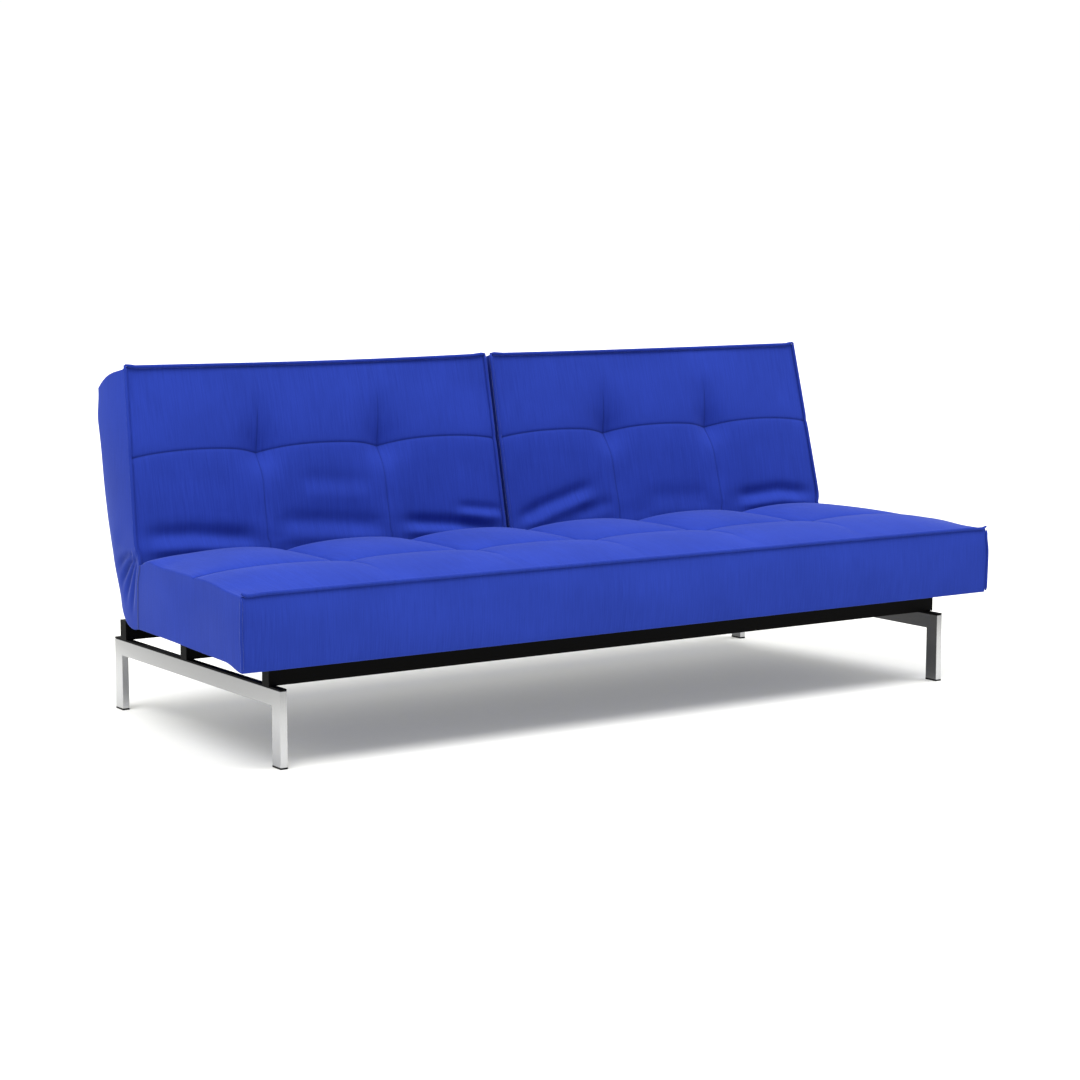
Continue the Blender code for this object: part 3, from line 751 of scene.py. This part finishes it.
        # tufts: a deep pull at each crossing that draws the panel above it in
        reach = np.hypot(column / 1.15, np.where(off > 0, off / 1.75, off / 1.15))
        n = n - np.where(front, 0.0190 * gauss(reach, 0.038) + 0.0030 * gauss(reach, 0.014), 0)
        for path, width, depth in FOLDS[word]:
            wrinkle = fold(x, s, path, width, depth * FOLD_DEPTH)
            # the ridge fades where the seat's rear edge comes when the half leans forward
            wrinkle = np.where(wrinkle > 0, wrinkle * smooth((s - 0.048) / 0.027), wrinkle)
            n = n + np.where(front, wrinkle, 0)
        # painted shade for the cloth along the cross seam and the lengthwise seams
        pad.seam = np.where(front, np.maximum(0.9 * across_seam ** 2, 0.55 * upright ** 2), 0)
        # folds in the side cloth that fan out from the lower front corner
        from_corner = np.hypot(p[:, 1] - SHEER[0], p[:, 2] - SHEER[1])
        angle = np.degrees(np.arctan2(SHEER[1] - p[:, 2], p[:, 1] - SHEER[0]))
        fan = np.zeros_like(s)
        for ray, depth in ((8, 0.8), (24, 1.1), (40, 1.0), (58, 0.8)):
            fan += depth * gauss(angle - ray - 90 * np.maximum(from_corner - 0.04, 0), 4.2)
        fan *= smooth((from_corner - 0.010) / 0.03) * (1 - smooth((from_corner - 0.10) / 0.07))
        fan *= smooth((0.15 - s) / 0.05) * (a >= 1)
        p[:, 0] -= side * 0.0080 * fan
        # painted shade in the side folds
        pad.seam = np.maximum(pad.seam, 0.55 * fan)
        moved = np.stack(back_world(p[:, 0], s, n), axis=1)
        # ears at the outer top corner
        ear = gauss(np.hypot((1 - a) * BACK_WIDE, (1 - b) * 0.17), 0.010) * (c >= 1)
        moved[:, 2] += 0.005 * ear
        moved[:, 0] += side * 0.0015 * ear
        return moved

    return pad, pad.build(move, detail)


def tube_along(name, path, radius, body, sides=8):
    """A cord of cloth along a path of points, with rounded closed ends."""
    path = np.asarray(path, float)
    ahead = np.gradient(path, axis=0)
    ahead /= np.linalg.norm(ahead, axis=1, keepdims=True)
    normal = np.cross(ahead[0], [0.3, 0.5, 0.8])
    verts, faces = [], []
    for k, (point, along) in enumerate(zip(path, ahead)):
        normal = normal - along * np.dot(normal, along)
        normal /= np.linalg.norm(normal)
        other = np.cross(along, normal)
        r = radius * (0.55 if k in (0, len(path) - 1) else 1.0)
        for m in range(sides):
            t = m * math.tau / sides
            verts.append(point + r * (math.cos(t) * normal + math.sin(t) * other))
    for k in range(len(path) - 1):
        for m in range(sides):
            a, b = k * sides + m, k * sides + (m + 1) % sides
            faces.append((a, b, b + sides, a + sides))
    faces.append(tuple(range(sides))[::-1])
    faces.append(tuple((len(path) - 1) * sides + m for m in range(sides)))
    mesh = bpy.data.meshes.new(name)
    mesh.from_pydata([tuple(v) for v in verts], [], faces)
    mesh.shade_smooth()
    obj = bpy.data.objects.new(name, mesh)
    bpy.context.scene.collection.objects.link(obj)
    obj.data.materials.append(WELT_SHADED)
    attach(obj, body)
    return obj


def evened(points, step=0.012):
    """The path through the points, resampled at even steps."""
    points = np.asarray(points, float)
    run = np.concatenate([[0], np.cumsum(np.linalg.norm(np.diff(points, axis=0), axis=1))])
    at = np.linspace(0, run[-1], max(3, int(run[-1] / step)))
    return np.stack([np.interp(at, run, points[:, k]) for k in range(3)], axis=1)


# --- studio -------------------------------------------------------------------------------------

def studio():
    half = FLOOR_HALF
    mesh = bpy.data.meshes.new("studio_floor")
    mesh.from_pydata([(-half, -half, 0), (half, -half, 0), (half, half, 0), (-half, half, 0)], [],
                     [(0, 1, 2, 3)])
    floor = bpy.data.objects.new("studio_floor", mesh)
    bpy.context.scene.collection.objects.link(floor)
    pale = grained("floor_white", (0.73, 0.729, 0.712), 0.7, 40, 0.02, 0.01)
    glow = next(n for n in pale.node_tree.nodes if n.type == "BSDF_PRINCIPLED")
    glow.inputs["Emission Color"].default_value = (1, 1, 0.80, 1)
    glow.inputs["Emission Strength"].default_value = FLOOR_GLOW
    floor.data.materials.append(pale)

    world = bpy.data.worlds.new("studio")
    world.use_nodes = True
    tree = world.node_tree
    coord = tree.nodes.new("ShaderNodeTexCoord")
    split = tree.nodes.new("ShaderNodeSeparateXYZ")
    tree.links.new(coord.outputs["Generated"], split.inputs["Vector"])
    rise = maths(tree, "ADD", split.outputs["Y"], maths(tree, "MULTIPLY", split.outputs["Z"], 0.5))
    light = ramp(tree, maths(tree, "ADD", maths(tree, "MULTIPLY", rise, 0.5), 0.5),
                 [(0.12, (0.28, 0.28, 0.29)), (0.60, (1, 1, 1))])
    tree.links.new(light, tree.nodes["Background"].inputs["Color"])
    tree.nodes["Background"].inputs["Strength"].default_value = WORLD_STRENGTH
    bpy.context.scene.world = world

    for name, toward, power in SUNS:
        lamp = bpy.data.lights.new(name, "SUN")
        lamp.angle = SUN_ANGLE
        lamp.energy = power
        light = bpy.data.objects.new(name, lamp)
        light.rotation_mode = "QUATERNION"
        light.rotation_quaternion = Vector(toward).to_track_quat("Z", "Y")
        bpy.context.scene.collection.objects.link(light)

    cam = bpy.data.cameras.new("camera")
    cam.lens, cam.sensor_width = LENS, SENSOR
    cam.clip_end = VIEW_END
    camera = bpy.data.objects.new("camera", cam)
    camera.location = CAMERA_AT
    camera.rotation_mode = "QUATERNION"
    camera.rotation_quaternion = Vector(CAMERA_LOOK).to_track_quat("-Z", "Y")
    bpy.context.scene.collection.objects.link(camera)
    bpy.context.scene.camera = camera
    bpy.context.scene.view_settings.view_transform = "Standard"


studio()
dress_nodes()

seat_pad, seat = seat_cushion()
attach(seat, "base")
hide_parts("seat_mattress")
last = [len(axis) - 1 for axis in seat_pad.axes]
edge = seat_pad.points[seat_pad.line(slice(None), 0, last[2])] + [0, -0.0015, 0.0015]
edge[:, 2] += 0.004 * gauss(np.abs(edge[:, 0]) - 1.05, 0.006)
tube_along("seat_front_welt", evened(edge), FRONT_WELT_R, "base")
for i, word in ((0, "left"), (last[0], "right")):
    edge = seat_pad.points[seat_pad.line(i, 0, slice(None))]
    edge = edge + [0.001 if i else -0.001, -0.001, 0]
    tube_along("seat_corner_seam_" + word, evened(edge[1:-1], 0.008), CORNER_SEAM_R, "base")

for side, word in ((-1, "left"), (1, "right")):
    back_pad, back = back_cushion(side, word)
    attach(back, "back_" + word)
    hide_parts("back_mattress_" + word)
    last = [len(axis) - 1 for axis in back_pad.axes]
    off = np.array(back_world(0, 0.002, 0.0022)) - np.array(back_world(0, 0, 0))
    edge = back_pad.points[back_pad.line(slice(None), last[1], last[2])] + off
    tube_along("back_top_welt_" + word, evened(edge), WELT_R, "back_" + word)
    for i, place in ((0, "inner"), (last[0], "outer")):
        low = back_pad.nearest(2, 0.17)
        edge = back_pad.points[back_pad.line(i, last[1], slice(low, None))] + off
        edge[:, 0] += side * 0.0015
        name = f"back_side_welt_{place}_{word}"
        tube_along(name, evened(edge), WELT_R, "back_" + word)
